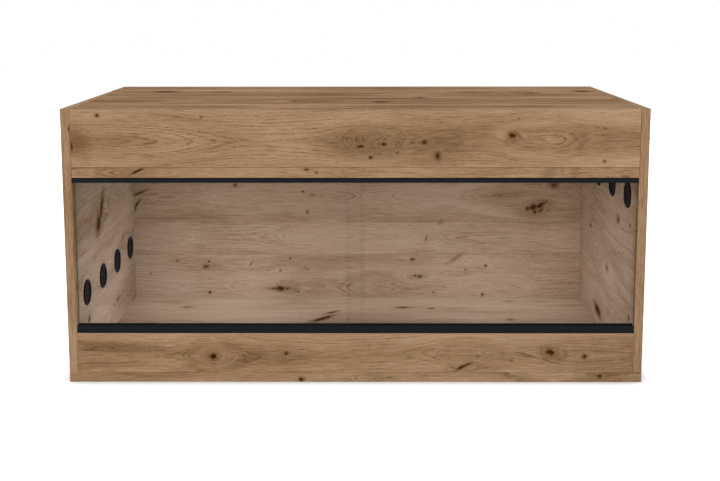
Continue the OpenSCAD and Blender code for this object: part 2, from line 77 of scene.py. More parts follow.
# Figure of each printed face, in millimetres of the cabinet's own axes.
# axes: the axes along the grain and across it; for edging, "front" gives those of its front strip.
# seed: where its noises start. tone: how light it is. contrast: how strongly everything but the knots shows.
# calm: how far the grain wanders. vary: how far its planks differ in tone.
# heart: where the heart of the tree lies across the face. depth: (along, how deep it lies under the face).
# paling: how far the wood pales away from the heart.
# seams: (across, heart of the plank above it); on edging they lie where the strip meets the next part, and the
# dark line drawn there is painted shade. joint: half of the width that such a line is drawn.
# knots: along, across, half length, half width, tilt in degrees, darkness, and the half length and half width
# of the grain that swells round it. Cracks and patches of brown wood are knots as well.
FIGURES = {
    "upper_front_panel": {
        "axes": "XZ",
        "seed": 42.3,
        "tone": 0.0,
        "heart": 428,
        "depth": [
            (-500, 7), (-440, 7), (-380, 11), (-320, 17), (-255, 25), (-170, 31), (-80, 30), (-42, 27),
            (-12, 16), (8, 7), (30, 3), (50, 7), (74, 16), (100, 26), (200, 31), (240, 29), (268, 22),
            (300, 17), (330, 16), (358, 19), (390, 26), (430, 30), (500, 31),
        ],
        "knots": [
            (-437.8, 469, 2.4, 2.2, 0, 0.95, 7.2, 3.0),
            (-470, 423, 10, 18, 20, 0.5, 3, 2),
            (-481.5, 416, 1.6, 7, 0, 0.9, 4, 6),
            (-500, 447, 3, 3, 0, 0.8, 7.2, 3.8),
            (-261, 466, 1.4, 1.3, 0, 0.6, 4.3, 1.9),
            (9, 416, 5.4, 2.6, 12, 0.95, 17, 4.0),
            (48.5, 419.5, 3.2, 2.8, 20, 0.95, 19, 6.3),
            (26.4, 397.3, 2.8, 2.6, 50, 0.9, 14, 4.5),
            (33.2, 402, 5, 1.4, 60, 0.55, 12, 2.0),
            (18, 428.5, 8, 2.2, 45, 0.6, 19, 3.6),
            (72.5, 405.5, 3, 1.7, 40, 0.7, 9, 3.1),
            (50.5, 428.5, 3.2, 1.8, 0, 0.6, 6, 2.5),
            (52, 400.5, 1.6, 1.4, 0, 0.45, 4, 2),
            (24, 419, 42, 16, 0, 0.5, 3, 1.5),
            (130, 411, 32, 14, -10, 0.24, 3, 1.5),
            (181, 422.5, 2.2, 1.6, 0, 0.45, 6, 2),
            (118, 423, 4.2, 3.4, 0, 0.9, 17, 5.0),
            (140.5, 400, 3.8, 5.6, 10, 0.9, 17, 8.1),
            (150, 408, 12, 2.4, 35, 0.35, 29, 3.0),
            (266.5, 434.5, 5.4, 4.2, 0, 0.95, 24, 6.3),
            (279, 431, 4.4, 2, -20, 0.5, 9, 2.5),
            (318, 427.5, 5.5, 1.7, -30, 0.35, 9, 2.5),
            (278, 463, 1.4, 1.3, 0, 0.55, 4.3, 1.9),
            (383, 417, 8, 3, 55, 0.32, 12, 4),
            (384, 433, 6, 2.4, 20, 0.3, 12, 4),
            (424.2, 446.5, 1.7, 1.5, 0, 0.65, 6, 2.2),
            (424.3, 390.2, 2.1, 1.8, 0, 0.7, 8, 3),
        ],
    },
    "lower_front_panel": {
        "axes": "XZ",
        "seed": 23.4,
        "tone": 0.11,
        "heart": 46,
        "depth": [
            (-500, 22), (-420, 26), (-335, 26), (-290, 18), (-251, 3), (-230, 9), (-204, 17),
            (-180, 25), (-115, 30), (-20, 32), (60, 31), (130, 25), (160, 15), (190, 7), (240, 14),
            (320, 23), (340, 20), (420, 15), (500, 23),
        ],
        "knots": [
            (-247.6, 46.2, 5.8, 5.2, 0, 1.0, 24, 8.8),
            (-246, 46, 12, 8, 0, 0.42, 3, 2),
            (-405, 61, 62, 5, -3, 0.5, 60, 6),
            (-290, 29, 14, 4, 20, 0.25, 20, 5.0),
            (-446, 63.5, 16, 2.4, 8, 0.55, 18, 3),
            (-474, 58.5, 12, 2.2, 0, 0.5, 14, 3),
            (-271, 20.5, 5, 1.6, 10, 0.35, 8, 2),
            (-120.2, 51.6, 2.6, 2.3, 0, 0.95, 11, 3.5),
            (-125, 42, 4, 4, 0, 0.3, 9.6, 5.0),
            (-460, 14, 1.8, 1.6, 0, 0.6, 4.3, 2.0),
            (185.5, 26.8, 8.5, 2, 27, 0.95, 30, 7),
            (195, 31.2, 7.5, 1.5, 22, 0.85, 18, 4),
            (170, 26.3, 4, 1.4, 0, 0.4, 8, 2),
            (213, 46.3, 2, 1.4, 0, 0.45, 5, 2),
            (272.7, 39.3, 2.2, 1.5, 0, 0.6, 5.8, 2.0),
            (340.2, 53.6, 6.2, 4.4, -12, 0.95, 23, 8.1),
            (343, 51.5, 12, 8, -15, 0.46, 3, 2),
            (323, 60.5, 1.6, 1.4, 0, 0.5, 4.8, 2.2),
            (399.7, 46.6, 3.2, 2.8, 0, 0.92, 14, 4.2),
        ],
    },
    "back_panel": {
        "axes": "XZ",
        "seed": 21.4,
        "tone": -0.02,
        "calm": 0.6,
        "contrast": 0.64,
        "joint_and_shade_line": 0.35,
        "paling": -0.3,
        "vary": 0.015,
        "heart": 48,
        "seams_and_shade_lines": [(115, 152), (187, 240), (292, 350), (384, 420)],
        "knots": [
            (-393, 101, 2.3, 1.6, 60, 0.73, 12, 4),
            (-330, 88, 4.9, 3.2, 10, 0.84, 19, 6),
            (-323.5, 99.5, 2.2, 1.8, 0, 0.84, 7.2, 3.0),
            (-322, 30, 2.6, 2.2, 0, 0.84, 12, 4),
            (-451, 72, 1.6, 1.4, 0, 0.79, 5.8, 2.5),
            (-472, 250, 10, 1.5, 24, 0.97, 30, 5),
            (-460, 255, 6.3, 1.1, 14, 0.73, 12, 3),
            (-477.5, 225.5, 8.5, 1.6, 58, 0.97, 24, 5),
            (-471, 233, 5.4, 1.2, 40, 0.73, 12, 3),
            (-481, 214, 3.6, 1.1, 70, 0.73, 8, 3),
            (-263, 268, 3.2, 2.6, 0, 0.84, 14, 4.5),
            (-231, 95, 4.9, 1.4, 55, 0.6, 15, 4.0),
            (-168, 39, 8.5, 4.6, 0, 1, 30, 6.6),
            (-182, 39, 5.4, 2.2, 0, 0.78, 9, 3),
            (-153, 39, 4.5, 2.4, 0, 0.84, 9, 3),
            (-167, 39, 20.7, 2.9, 0, 0.62, 30, 4),
            (-129, 32, 1.8, 1.6, 0, 0.83, 8, 3),
            (-146, 106, 2.0, 1.9, 0, 0.79, 7.2, 3.2),
            (-168, 79, 1.9, 1.7, 0, 0.73, 7.2, 3.0),
            (-111, 84, 4.3, 1.4, -30, 0.62, 14, 2.5),
            (-107.5, 208, 2.6, 3.2, 0, 0.66, 10, 7),
            (-118, 254, 2.9, 1.4, -20, 0.79, 9.6, 2.5),
            (-96, 247, 4.3, 1.7, 0, 0.56, 14, 3.0),
            (120, 104, 3.8, 2.7, 10, 0.84, 13, 4.2),
            (136, 66, 4.5, 2.7, 8, 0.84, 20, 5),
            (126.5, 68, 3.6, 2.2, 0, 0.73, 12, 4),
            (133, 67, 11.7, 3.6, 8, 0.41, 26, 6),
            (50, 49, 9.6, 3.2, 0, 0.13, 40, 8.9),
            (150, 150, 1.4, 4.3, -20, 0.62, 9.4, 7.5),
            (182, 186, 4.3, 2.9, 30, 0.4, 14, 5.0),
            (214, 107, 12.6, 2.3, 32, 0.52, 24, 4),
            (207, 99, 8.1, 1.6, 20, 0.41, 12, 3),
            (221, 112, 2.7, 2.2, 0, 0.62, 9, 4),
            (236, 81, 1.7, 1.6, 0, 0.68, 5.8, 2.8),
            (280, 90, 2.3, 2.2, 0, 0.84, 7.9, 3.8),
            (166.5, 30, 1.7, 1.4, 0, 0.68, 6, 3),
            (274, 25.5, 2.3, 2.1, 0, 0.84, 9, 4),
            (368.5, 216, 4.5, 5.0, 20, 0.84, 14, 8),
            (380, 219, 8.5, 5.6, 20, 0.98, 16, 7),
            (396, 223, 11, 5, 38, 0.98, 26, 8),
            (398, 213, 7.2, 2.3, 38, 0.84, 14, 4),
            (407, 231, 6.3, 1.6, 40, 0.73, 10, 3),
            (384, 210, 4.0, 4.9, 0, 0.83, 9.6, 8),
            (386, 218, 23.4, 11.7, 28, 0.41, 3, 2),
            (425, 268, 6.5, 5.0, 0, 0.84, 27, 8.9),
        ],
    },
    "top_board": {
        "axes": "XY",
        "seed": 21.9,
        "tone": -0.09,
        "heart": -200,
        "joint_and_shade_line": 5.0,
        "seams_and_shade_lines": [(-156, -95), (-60, 40), (103, 190)],
        "knots": [
            (-386, 112, 19, 12, 0, 1.0, 60, 16),
            (-447, 108, 24, 10, 0, 0.5, 60, 14),
            (-275, 101, 15, 10, 3, 0.75, 44, 13),
            (-220, -118, 7, 8, 0, 0.4, 24, 10),
            (-110, -104, 9, 10, 0, 0.7, 28, 13),
            (20, -50, 100, 9, 1, 0.62, 130, 12),
            (45, -120, 12, 11, 0, 0.95, 34, 14),
            (121, -34, 10, 9, 0, 0.8, 28, 12),
            (222, 97, 20, 10, 0, 0.7, 50, 13),
            (257, 97, 11, 9, 0, 0.6, 30, 12),
            (322, 92, 10, 9, 0, 0.6, 30, 12),
            (346, 74, 12, 9, 0, 0.8, 34, 12),
            (455, 116, 12, 13, 0, 0.9, 34, 16),
            (-300, 205, 7, 5, 0, 0.6, 32, 8),
            (300, -190, 5, 4, 0, 0.6, 24, 7),
        ],
    },
    "bottom_board": {
        "axes": "XY",
        "seed": 27.4,
        "tone": 0.0,
        "paling": 0.4,
        "contrast": 0.6,
        "heart": 190,
        "seams_and_shade_lines": [(-168, -110), (-60, 40), (140, 200)],
        "knots": [
            (-361, 160, 9.7, 3.5, 0, 0.76, 26, 5.0),
            (-71, 74, 23, 6, 49, 1.0, 50, 14),
            (-52, 121, 13, 4, 35, 0.85, 24, 10),
            (98, 158, 12.3, 4.4, 0, 0.92, 35, 6.2),
            (157, 150, 5.3, 3.5, 0, 0.81, 19, 5.0),
            (215, 150, 19.4, 3.5, 0, 0.32, 53, 5.0),
            (313, 68, 6.2, 5.3, 0, 0.65, 17, 7.5),
            (325, 205, 6.2, 3.5, 0, 0.54, 17, 5.0),
            (-200, -40, 5.3, 4.4, 0, 0.86, 21, 6.2),
            (240, -90, 7.9, 6.2, 0, 0.86, 29, 8.8),
        ],
    },
    "left_side_board": {
        "axes": "YZ",
        "seed": 33.3,
        "tone": 0.0,
        "paling": 0.4,
        "contrast": 0.7,
        "heart": 60,
        "seams_and_shade_lines": [(118, 170), (214, 262), (300, 350), (392, 430)],
        "knots": [
            (-50, 272, 22, 8, 57, 0.97, 60, 16),
            (-76, 247, 15, 11, 50, 1.0, 30, 16),
            (57, 63, 4.4, 3.5, 0, 0.76, 17, 5.0),
            (-167, 88, 5.3, 4.4, 0, 0.81, 21, 6.2),
            (120, 180, 3.5, 2.6, 0, 0.76, 12, 3.8),
            (150, 330, 7.9, 6.2, 0, 0.86, 29, 8.8),
            (-120, 410, 4.4, 3.5, 0, 0.76, 17, 5.0),
            (60, 440, 2.6, 2.6, 0, 0.76, 9.4, 3.8),
        ],
    },
    "right_side_board": {
        "axes": "YZ",
        "seed": 39.8,
        "tone": 0.0,
        "paling": 0.4,
        "contrast": 0.7,
        "heart": 66,
        "seams_and_shade_lines": [(126, 180), (222, 258), (306, 352), (396, 432)],
        "knots": [
            (-110, 262, 7, 5.3, 0, 0.76, 23, 7.5),
            (-200, 268, 3.5, 2.6, 0, 0.76, 12, 3.8),
            (131, 201, 4.4, 3.5, 0, 0.81, 17, 5.0),
            (40, 47, 24, 7.5, 8, 1.0, 60, 14),
            (-210, 104, 4.4, 3.5, 0, 0.81, 17, 5.0),
            (137, 240, 2.6, 2.6, 0, 0.76, 9.4, 3.8),
            (-30, 150, 7, 6.2, 0, 0.65, 29, 8.8),
            (160, 420, 4.4, 3.5, 0, 0.86, 17, 5.0),
            (-90, 360, 7.9, 5.3, 0, 0.86, 27, 7.5),
        ],
    },
    "header_rail": {"axes": "XZ", "seed": 45.5, "tone": 0.0, "heart": 350, "knots": []},
    "header_edge_band": {
        "axes": "XZ",
        "seed": 82.1,
        "tone": -0.13,
        "calm": 0.5,
        "heart": 318,
        "joint_and_shade_line": 0.7,
        # a dark line along the band's top, where it meets the upper front panel, is painted shade
        "seams_and_shade_lines": [(379.9, 318)],
        "knots": [
            (-371, 373.6, 9.5, 1.8, 24, 0.95, 26, 4.6),
            (-371, 372, 34, 7, 8, 0.22, 82, 8.8),
            (-82.8, 376.2, 3.2, 1.4, -10, 0.75, 8, 2.2),
            (-65.8, 371.3, 2.4, 1.5, 0, 0.75, 7, 2.2),
            (-20, 371, 3, 8, 12, 0.2, 4, 6),
            (330, 370, 9, 5, 20, 0.42, 8, 3),
            (352, 374, 3, 8, 20, 0.28, 3, 3),
            (376, 373, 4, 8, -24, 0.36, 4, 3),
            (460, 364, 4, 1.5, 0, 0.5, 9.6, 1.9),
        ],
    },
    "upper_panel_edge_band": {"axes": "XY", "seed": 42.3, "tone": -0.18, "heart": -300, "knots": []},
    "bottom_edge_bands": {
        "axes": "YZ",
        "front": "XZ",
        "seed": 75.8,
        "tone": 0.03,
        "calm": 0.7,
        "heart": 46,
        "joint_and_shade_line": 0.5,
        # a dark line along the front strip's top, where it meets the lower front panel, is painted shade
        "seams_and_shade_lines": [(17.6, 46)],
        "knots": [
            (-94.4, 4.6, 3.4, 3.1, 0, 0.95, 12, 4.5),
            (22, 8, 10, 5, 0, 0.16, 24, 6.2),
            (60, 9, 9, 5, 0, 0.14, 22, 6.2),
            (426.9, 10.4, 3, 2.6, 0, 0.92, 12, 4),
            (262.6, 15.5, 1.9, 1.5, 0, 0.6, 5, 2),
            (425, 14, 22, 3, 0, 0.25, 53, 3.8),
        ],
    },
    "left_side_edge_bands": {
        "axes": "YX",
        "front": "ZX",
        "seed": 55.6,
        "tone": -0.06,
        "calm": 0.25,
        "heart": -440,
        "joint_and_shade_line": 0.6,
        # dark lines along the strip's outer edge and where it meets the front panels are painted shade
        "seams_and_shade_lines": [(-499.5, -440), (-484.5, -440)],
        "knots": [(447, -484.6, 3.4, 2, 0, 0.9, 12, 2.9)],
    },
    "right_side_edge_bands": {
        "axes": "YX",
        "front": "ZX",
        "seed": 61.2,
        "tone": -0.08,
        "calm": 0.25,
        "heart": 540,
        "joint_and_shade_line": 0.6,
        # dark lines along the strip's outer edge and where it meets the front panels are painted shade
        "seams_and_shade_lines": [(484.5, 540), (499.5, 540)],
        "knots": [],
    },
}

# What a figure has where it gives nothing else.
USUAL = {"contrast": 1.0, "calm": 1.0, "paling": 1.0, "vary": 0.07, "joint_and_shade_line": 0.6, "seams_and_shade_lines": []}


def colour_setting(name, description, default):
    """A colour in the panel, with an sRGB hex as its default."""
    return FloatVectorProperty(
        name=name, description=description, subtype="COLOR", size=4, default=linear(default)
    )


def power_setting(name, description, default):
    """A lamp's power in the panel, in watts."""
    return FloatProperty(name=name, description=description, unit="POWER", min=0, max=1000, default=default)


class OakSettings(bpy.types.PropertyGroup):
    """Colours and sizes of the printed oak."""

    pale: colour_setting("Pale wood", "Early wood between two rings", "B29273")
    body: colour_setting("Wood", "Main colour of the decor", "99795A")
    ring: colour_setting("Ring", "Late wood of a growth ring", "6F5032")
    stain: colour_setting("Stain", "Brown wood round knots and cracks", "5E4024")
    knot: colour_setting("Knot", "Dark bark in knots and cracks", "33200E")
    core: colour_setting("Chipboard", "Raw chips on edges without edging", "B39A76")
    ring_spacing: FloatProperty(
        name="Ring spacing",
        description="Distance between two growth rings",
        unit="LENGTH",
        min=0.001,
        max=0.03,
        default=0.0042,
    )
    roughness: FloatProperty(
        name="Roughness",
        description="Satin sheen of the melamine surface",
        subtype="FACTOR",
        min=0,
        max=1,
        default=0.72,
    )


class GlassSettings(bpy.types.PropertyGroup):
    """Look of the sliding doors."""

    tint: colour_setting("Tint", "What one face of the pane lets through", "FEFEFE")
    edge: colour_setting("Edge", "Colour of the cut and ground edges", "475E52")
    mirror: FloatProperty(
        name="Mirror",
        description="Share that one face mirrors, seen straight on",
        subtype="FACTOR",
        min=0,
        max=1,
        default=0.0,
    )


class FittingSettings(bpy.types.PropertyGroup):
    """Colours of the fittings."""

    track: colour_setting("Tracks", "Extruded black plastic", "16191B")
    vent: colour_setting("Vents", "Moulded black plastic", "080D10")
    steel: colour_setting("Screws", "Zinc plated steel", "B4B8BA")
    cap: colour_setting("Caps", "Screw caps coloured like the oak", "9C7B5A")


class StudioSettings(bpy.types.PropertyGroup):
    """Light of the studio."""

    sky: FloatProperty(name="Sky", description="Light from all round", min=0, max=2, default=0.45)
    front: power_setting("Front lamp", "Power of the large soft lamp in front", 98)
    top: power_setting("Top lamp", "Power of the soft lamp overhead", 25)
    side: power_setting("Side lamps", "Power of the soft lamp on each side", 24)
    rear: power_setting("Rear lamp", "Power of the soft lamp behind", 50)
    door: power_setting("Door lamps", "Power of the two sheets of light behind the glass", 0.61)
    low: power_setting("Low lamps", "Power of the two strips low behind the glass", 0.98)
    back: power_setting("Back lamp", "Power of the strip over the back of the floor", 0.8)
    wall: power_setting("Wall lamps", "Mean power of the two lamps towards the side walls", 0.73)
    floor: colour_setting("Floor", "Paper on the floor", "E6E9EE")
    glow: FloatProperty(
        name="White floor", description="How far the paper is lifted towards white", min=0, max=2, default=0.72
    )
    shadow: FloatProperty(
        name="Shadow",
        description="How far the shadow reaches from the base",
        unit="LENGTH",
        min=0,
        max=1,
        default=0.035,
    )


class TerrariumSettings(bpy.types.PropertyGroup):
    """Everything that can be changed on the cabinet."""

    oak: PointerProperty(type=OakSettings)
    glass: PointerProperty(type=GlassSettings)
    fittings: PointerProperty(type=FittingSettings)
    studio: PointerProperty(type=StudioSettings)


def add_node(tree, kind, inputs=None, **settings):
    """Adds a node: settings are its own, and inputs gives a socket a value, another node or a node's socket.

    A socket is given by name, or by number where names repeat or are plain. In Map Range 0 is the value, 1
    and 2 are the range it comes from, and 3 and 4 the one it goes to. In Mix 0 is the share, and 2 and 3 are
    the numbers or 6 and 7 the colours.
    """
    node = tree.nodes.new(kind)
    for name, value in settings.items():
        setattr(node, name, value)
    for key, source in (inputs or {}).items():
        if isinstance(source, bpy.types.Node):
            source = source.outputs[0]
        if isinstance(source, bpy.types.NodeSocket):
            tree.links.new(source, node.inputs[key])
        else:
            node.inputs[key].default_value = source
    return node


def new_group(name, inputs, outputs):
    """A node group with these sockets, each a name and its kind, and the sockets that bring its inputs."""
    group = bpy.data.node_groups.new(name, "ShaderNodeTree")
    for way, sockets in (("INPUT", inputs), ("OUTPUT", outputs)):
        for label, kind in sockets.items():
            group.interface.new_socket(label, in_out=way, socket_type="NodeSocket" + kind)
    return group, add_node(group, "NodeGroupInput").outputs


def new_material(name):
    """A material with an empty node tree, and that tree."""
    material = bpy.data.materials.new(name)
    material.use_nodes = True
    material.node_tree.nodes.clear()
    return material, material.node_tree


def finish_nodes(material, *names):
    """Gives these CAD nodes that material in every slot."""
    for name in names:
        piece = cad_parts.get(name)
        if piece is None:
            raise RuntimeError(f"the frame has no piece named {name}")
        for place in piece.material_slots:
            place.material = material


def stretched_noise(tree, place, scales, detail, **settings):
    """Soft noise from 0 to 1, whose patches are about 1 / scale long on each axis."""
    stretch = add_node(tree, "ShaderNodeVectorMath", {0: place, 1: scales}, operation="MULTIPLY")
    inputs = {"Vector": stretch, "Scale": 1.0, "Detail": detail}
    return add_node(tree, "ShaderNodeTexNoise", inputs, **settings)


def knot_group():
    """One knot: grain parts round it like water round a stone, and its bark is dark.

    Place holds where a point lies along and across the board, and in its third part where its grain comes
    from. With (x, y) from the knot's centre in units of the swelling and d = x^2 + y^2, that third part
    moves by -y / max(d, 1), which lets no grain through, plus rings of 1 - sqrt(d) inside. The third part
    is in every distance, over ALL_THE_WAY mm, so that the knots are worked out one after another.
    """
    group, given = new_group(
        "Knot",
        {
            "Place": "Vector",
            "Mark": "Float",
            "Ragged": "Float",
            "Centre": "Vector",
            "Half Size": "Vector",
            "Tilt": "Vector",
            "Swelling": "Vector",
            "Darkness": "Float",
        },
        {"Place": "Vector", "Mark": "Float"},
    )
    centred = {"Vector": given["Place"], "Location": given["Centre"]}
    turned = {"Rotation": given["Tilt"], "Scale": given["Half Size"]}
    bark = add_node(group, "ShaderNodeMapping", centred | turned, vector_type="TEXTURE")
    far = add_node(group, "ShaderNodeVectorMath", {0: bark}, operation="LENGTH").outputs["Value"]
    edge = add_node(group, "ShaderNodeMath", {0: far, 1: given["Ragged"]}, operation="ADD")
    # in half sizes from the centre: the bark is whole to 0.6 and gone by 1.3, and a paler halo is gone by 2.8
    core = add_node(group, "ShaderNodeMapRange", {0: edge, 1: 1.3, 2: 0.6}, interpolation_type="SMOOTHSTEP")
    faded = {0: edge, 1: 2.8, 2: 0.6, 4: 0.42}
    halo = add_node(group, "ShaderNodeMapRange", faded, interpolation_type="SMOOTHSTEP")
    core = add_node(group, "ShaderNodeMath", {0: core, 1: given["Darkness"]}, operation="MULTIPLY")
    dark = add_node(group, "ShaderNodeMath", {0: core, 1: halo}, operation="MAXIMUM")
    dark = add_node(group, "ShaderNodeMath", {0: dark, 1: given["Darkness"]}, operation="MULTIPLY")
    mark = add_node(group, "ShaderNodeMath", {0: dark, 1: given["Mark"]}, operation="MAXIMUM")
    swell = add_node(group, "ShaderNodeMapping", centred | {"Scale": given["Swelling"]}, vector_type="TEXTURE")
    square = add_node(group, "ShaderNodeVectorMath", {0: swell, 1: swell}, operation="DOT_PRODUCT")
    square = square.outputs["Value"]
    outside = add_node(group, "ShaderNodeMath", {0: square, 1: 1.0}, operation="MAXIMUM")
    offset = add_node(group, "ShaderNodeSeparateXYZ", {0: swell}).outputs["Y"]
    push = add_node(group, "ShaderNodeMath", {0: offset, 1: outside}, operation="DIVIDE")
    reach = add_node(group, "ShaderNodeMath", {0: square}, operation="SQRT")
    eye = add_node(group, "ShaderNodeMath", {0: 1.0, 1: reach}, operation="SUBTRACT", use_clamp=True)
    bend = add_node(group, "ShaderNodeMath", {0: eye, 1: push}, operation="SUBTRACT")
    height = add_node(group, "ShaderNodeSeparateXYZ", {0: given["Swelling"]}).outputs["Y"]
    bend = add_node(group, "ShaderNodeMath", {0: bend, 1: height}, operation="MULTIPLY")
    bend = add_node(group, "ShaderNodeCombineXYZ", {2: bend})
    place = add_node(group, "ShaderNodeVectorMath", {0: given["Place"], 1: bend}, operation="ADD")
    add_node(group, "NodeGroupOutput", {"Place": place, "Mark": mark})
    return group


def growth_rings(tree, grain, age, flat, vessels, spacing):
    """Late wood from 0 to 1: with the age in units of the spacing, each ring rises slowly and ends sharply."""
    # wobble of the rings: 4 mm, in waves 120 mm long and 20 mm across
    wobble = stretched_noise(tree, grain, (1 / 120, 1 / 20, 1), 2.0)
    age = add_node(tree, "ShaderNodeMath", {0: wobble, 1: 4.0, 2: age}, operation="MULTIPLY_ADD")
    turn = add_node(tree, "ShaderNodeMath", {0: age, 1: spacing}, operation="DIVIDE")
    turn = add_node(tree, "ShaderNodeMath", {0: turn}, operation="FRACT")
    rise = add_node(tree, "ShaderNodeMapRange", {0: turn, 1: 0.42, 2: 0.92}, interpolation_type="SMOOTHSTEP")
    fall = add_node(tree, "ShaderNodeMapRange", {0: turn, 1: 1.0, 2: 0.93}, interpolation_type="SMOOTHSTEP")
    # rings come and go over 170 mm along and 10 mm across
    strength = stretched_noise(tree, grain, (1 / 170, 1 / 10, 1), 1.0)
    strength = add_node(tree, "ShaderNodeMapRange", {0: strength, 1: 0.38, 2: 0.66, 3: 0.12, 4: 1.0})
    # where the board cuts them flat, at the tips of the arches, the rings show most
    tips = add_node(tree, "ShaderNodeMapRange", {0: flat, 1: 0.2, 2: 1.0, 3: 0.85, 4: 1.4})
    dashes = add_node(tree, "ShaderNodeMapRange", {0: vessels, 1: 0.35, 2: 0.65, 3: 0.35, 4: 1.65})
    ring = rise
    for share in (fall, strength, tips, dashes):
        ring = add_node(tree, "ShaderNodeMath", {0: ring, 1: share}, operation="MULTIPLY")
    return ring


def oak_shades(tree, tone, mark, oak):
    """Colour of the print: from late to pale wood as the tone rises, then stain and bark as the mark does."""
    colour = oak.ring
    for given, low, high, shade in (
        (tone, -0.5, 0.0, oak.body),
        (tone, 0.0, 0.5, oak.pale),
        (mark, 0.0, 0.5, oak.stain),
        (mark, 0.4, 1.0, oak.knot),
    ):
        share = add_node(tree, "ShaderNodeMapRange", {0: given, 1: low, 2: high})
        colour = add_node(tree, "ShaderNodeMix", {0: share, 6: colour, 7: shade}, data_type="RGBA").outputs[2]
    return colour


def oak_group(oak):
    """Printed oak: its rings are level lines of the distance from the heart, (across^1.5 + depth^1.5)^(1/1.5).

    The power lies between 2, round arches, and 1, straight-sided ones, as a flat-sawn board shows them.
    Along them run fibres and pores, and their strength and the ground tone change slowly from place to place.
    """
    power = 1.5
    numbers = ("Along", "Across", "Heart", "Depth", "Seed", "Tone", "Contrast", "Paling", "Mark")
    results = {"Color": "Color", "Tone": "Float"}
    group, given = new_group("Printed oak", dict.fromkeys(numbers, "Float"), results)
    side = add_node(group, "ShaderNodeMath", {0: given["Across"], 1: given["Heart"]}, operation="SUBTRACT")
    side = add_node(group, "ShaderNodeMath", {0: side}, operation="ABSOLUTE")
    # a board is darkest over the heart and pales from 4 to 45 mm beside it
    sapwood = add_node(group, "ShaderNodeMapRange", {0: side, 1: 4.0, 2: 45.0, 3: -0.07, 4: 0.17})
    sapwood = add_node(group, "ShaderNodeMath", {0: sapwood, 1: given["Paling"]}, operation="MULTIPLY")
    side = add_node(group, "ShaderNodeMath", {0: side, 1: power}, operation="POWER")
    down = add_node(group, "ShaderNodeMath", {0: given["Depth"], 1: power}, operation="POWER")
    age = add_node(group, "ShaderNodeMath", {0: side, 1: down}, operation="ADD")
    flat = add_node(group, "ShaderNodeMath", {0: down, 1: age}, operation="DIVIDE")
    age = add_node(group, "ShaderNodeMath", {0: age, 1: 1 / power}, operation="POWER")
    grain = add_node(group, "ShaderNodeCombineXYZ", {0: given["Along"], 1: age, 2: given["Seed"]})
    fibre = add_node(group, "ShaderNodeCombineXYZ", {0: given["Along"], 1: given["Across"], 2: given["Seed"]})
    # vessels: dashes 9 mm long along the board, whatever way the rings run, drawn 1.2 mm wide
    vessels = stretched_noise(group, fibre, (1 / 9, 1 / 1.2, 3), 1.0)
    ring = growth_rings(group, grain, age, flat, vessels, oak.ring_spacing * MM)
    tone = add_node(group, "ShaderNodeMath", {0: ring, 1: -0.28, 2: sapwood}, operation="MULTIPLY_ADD")
    # length and width in mm, detail and weight of the slow change of tone, which follows the rings, and of the
    # fibres, which run straight; real fibres are 0.2 mm wide, and are drawn 1.6 mm wide or more, to show
    for run, length, width, detail, weight in (
        (grain, 300, 30, 1.0, 1.1),
        (grain, 140, 9, 1.0, 0.42),
        (fibre, 90, 3.2, 2.0, 0.38),
        (fibre, 26, 1.6, 2.0, 1.0),
    ):
        streak = stretched_noise(group, run, (1 / length, 1 / width, 1 + width), detail)
        streak = add_node(group, "ShaderNodeMath", {0: streak, 1: 0.5}, operation="SUBTRACT")
        tone = add_node(group, "ShaderNodeMath", {0: streak, 1: weight, 2: tone}, operation="MULTIPLY_ADD")
    pores = add_node(group, "ShaderNodeMapRange", {0: vessels, 1: 0.58, 2: 0.72, 4: 0.2})
    tone = add_node(group, "ShaderNodeMath", {0: tone, 1: pores}, operation="SUBTRACT")
    weighed = {0: tone, 1: given["Contrast"], 2: given["Tone"]}
    tone = add_node(group, "ShaderNodeMath", weighed, operation="MULTIPLY_ADD")
    colour = oak_shades(group, tone, given["Mark"], oak)
    tone = add_node(group, "ShaderNodeMath", {0: tone, 1: given["Mark"]}, operation="SUBTRACT")
    add_node(group, "NodeGroupOutput", {"Color": colour, "Tone": tone})
    return group


def grain_place(tree, figure):
    """The place on a face in mm: object coordinates along the grain and across it."""
    place = add_node(tree, "ShaderNodeTexCoord").outputs["Object"]
    place = add_node(tree, "ShaderNodeVectorMath", {0: place, "Scale": MM}, operation="SCALE")
    parts = add_node(tree, "ShaderNodeSeparateXYZ", {0: place}).outputs
    along, across = (parts[axis] for axis in figure["axes"])
    if "front" in figure:
        front = add_node(tree, "ShaderNodeMath", {0: parts["Y"], 1: FRONT_EDGES}, operation="LESS_THAN")
        along, across = (
            add_node(tree, "ShaderNodeMix", {0: front, 2: plain, 3: parts[axis]}, data_type="FLOAT")
            for plain, axis in zip((along, across), figure["front"])
        )
    return along, across


def plank_layout(tree, figure, across):
    """The number of the plank at each point, where its heart lies, and 1 on the lines between planks; on
    edging these lines are painted shade where the strip meets the next part.
    """
    number, heart, joint_and_shade_line, last_heart = 0.0, figure["heart"], 0.0, figure["heart"]
    for place, next_heart in figure["seams_and_shade_lines"]:
        above = add_node(tree, "ShaderNodeMath", {0: across, 1: place}, operation="GREATER_THAN")
        number = add_node(tree, "ShaderNodeMath", {0: above, 1: number}, operation="ADD")
        next_plank = {0: above, 1: next_heart - last_heart, 2: heart}
        heart = add_node(tree, "ShaderNodeMath", next_plank, operation="MULTIPLY_ADD")
        last_heart = next_heart
        # the line between two planks is a hair line, and is drawn twice "joint" wide so that it shows; on
        # edging the same line is painted shade where the strip meets the next part
        near = add_node(tree, "ShaderNodeMath", {0: across, 1: place, 2: figure["joint_and_shade_line"]}, operation="COMPARE")
        joint_and_shade_line = add_node(tree, "ShaderNodeMath", {0: near, 1: joint_and_shade_line}, operation="MAXIMUM")
    return number, heart, joint_and_shade_line


